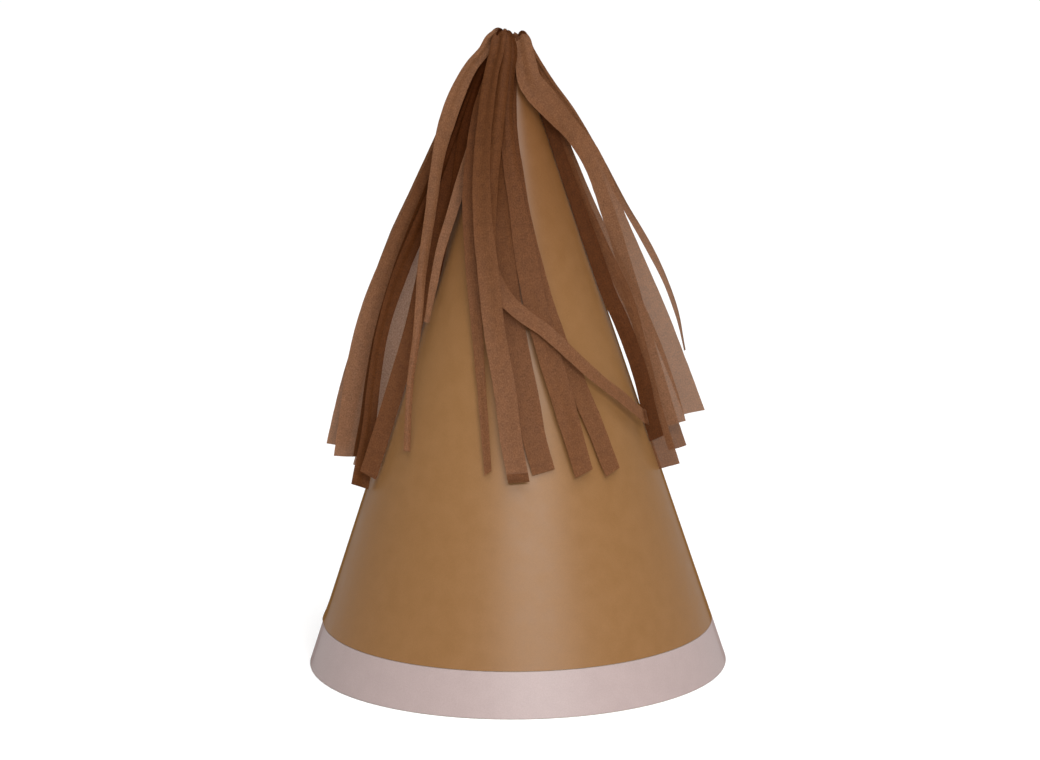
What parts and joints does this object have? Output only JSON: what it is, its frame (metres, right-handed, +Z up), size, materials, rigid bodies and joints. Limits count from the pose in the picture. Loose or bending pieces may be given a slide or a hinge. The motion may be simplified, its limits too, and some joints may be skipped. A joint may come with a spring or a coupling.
{
  "type": "party hat",
  "caption": "Cone party hat of rolled card under tan paper, with a rose paper band at the rim and a brown tissue tassel that hangs from the tip down all sides.",
  "frame": {"origin": "centre of the rim, on the plane that the hat stands on", "axes": "+Z up along the cone to the tip, -Y the front that the picture shows, +X the right side seen from the front, seam at +Y"},
  "size_m": [0.1148, 0.1148, 0.1738],
  "materials": {
    "card": "matte grey card",
    "tan_paper": "satin tan paper",
    "rose_paper": "satin pale rose paper",
    "tissue": "thin translucent brown tissue",
    "tape": "clear double-sided tape",
    "glue": "cream hot-melt glue",
    "thread": "twisted cotton thread"
  },
  "bodies": {
    "hat": {"card_cone": "card", "cover_paper": "tan_paper", "rim_band": "rose_paper", "seam_tape": "tape", "glue_plug": "glue", "neck_thread": "thread", "tassel_neck": "tissue", "tassel_crown": "tissue"},
    "front_lock": {"front_curved_strip": "tissue", "front_diagonal_strip": "tissue", "front_main_strip": "tissue", "front_narrow_strip": "tissue", "front_ridge_strip": "tissue", "front_under_strip": "tissue"},
    "right_lock": {"right_broad_strip": "tissue", "right_loose_strand": "tissue", "right_middle_strip": "tissue", "right_near_strip": "tissue", "right_rear_strip": "tissue", "right_skin_strip": "tissue", "right_under_strip": "tissue"},
    "back_lock": {"back_strip_1": "tissue", "back_strip_10": "tissue", "back_strip_11": "tissue", "back_strip_12": "tissue", "back_strip_2": "tissue", "back_strip_3": "tissue", "back_strip_4": "tissue", "back_strip_5": "tissue", "back_strip_6": "tissue", "back_strip_7": "tissue", "back_strip_8": "tissue", "back_strip_9": "tissue"},
    "left_lock": {"left_arch_strip": "tissue", "left_broad_strip": "tissue", "left_dark_strip": "tissue", "left_folded_strip": "tissue", "left_inner_strip": "tissue", "left_middle_strip": "tissue", "left_outer_strip": "tissue", "left_pale_strip": "tissue", "left_shade_strip": "tissue"}
  },
  "joints": [
    {"name": "front_lift", "type": "hinge", "parent": "hat", "child": "front_lock", "pos_m": [0, -0.006, 0.1696], "axis": [-1, 0, 0], "range_deg": [0, 115]},
    {"name": "right_lift", "type": "hinge", "parent": "hat", "child": "right_lock", "pos_m": [0.0046, 0, 0.1696], "axis": [0, -1, 0], "range_deg": [0, 115]},
    {"name": "back_lift", "type": "hinge", "parent": "hat", "child": "back_lock", "pos_m": [0, 0.006, 0.1696], "axis": [1, 0, 0], "range_deg": [0, 115]},
    {"name": "left_lift", "type": "hinge", "parent": "hat", "child": "left_lock", "pos_m": [-0.0082, 0, 0.1696], "axis": [0, 1, 0], "range_deg": [0, 115]}
  ]
}
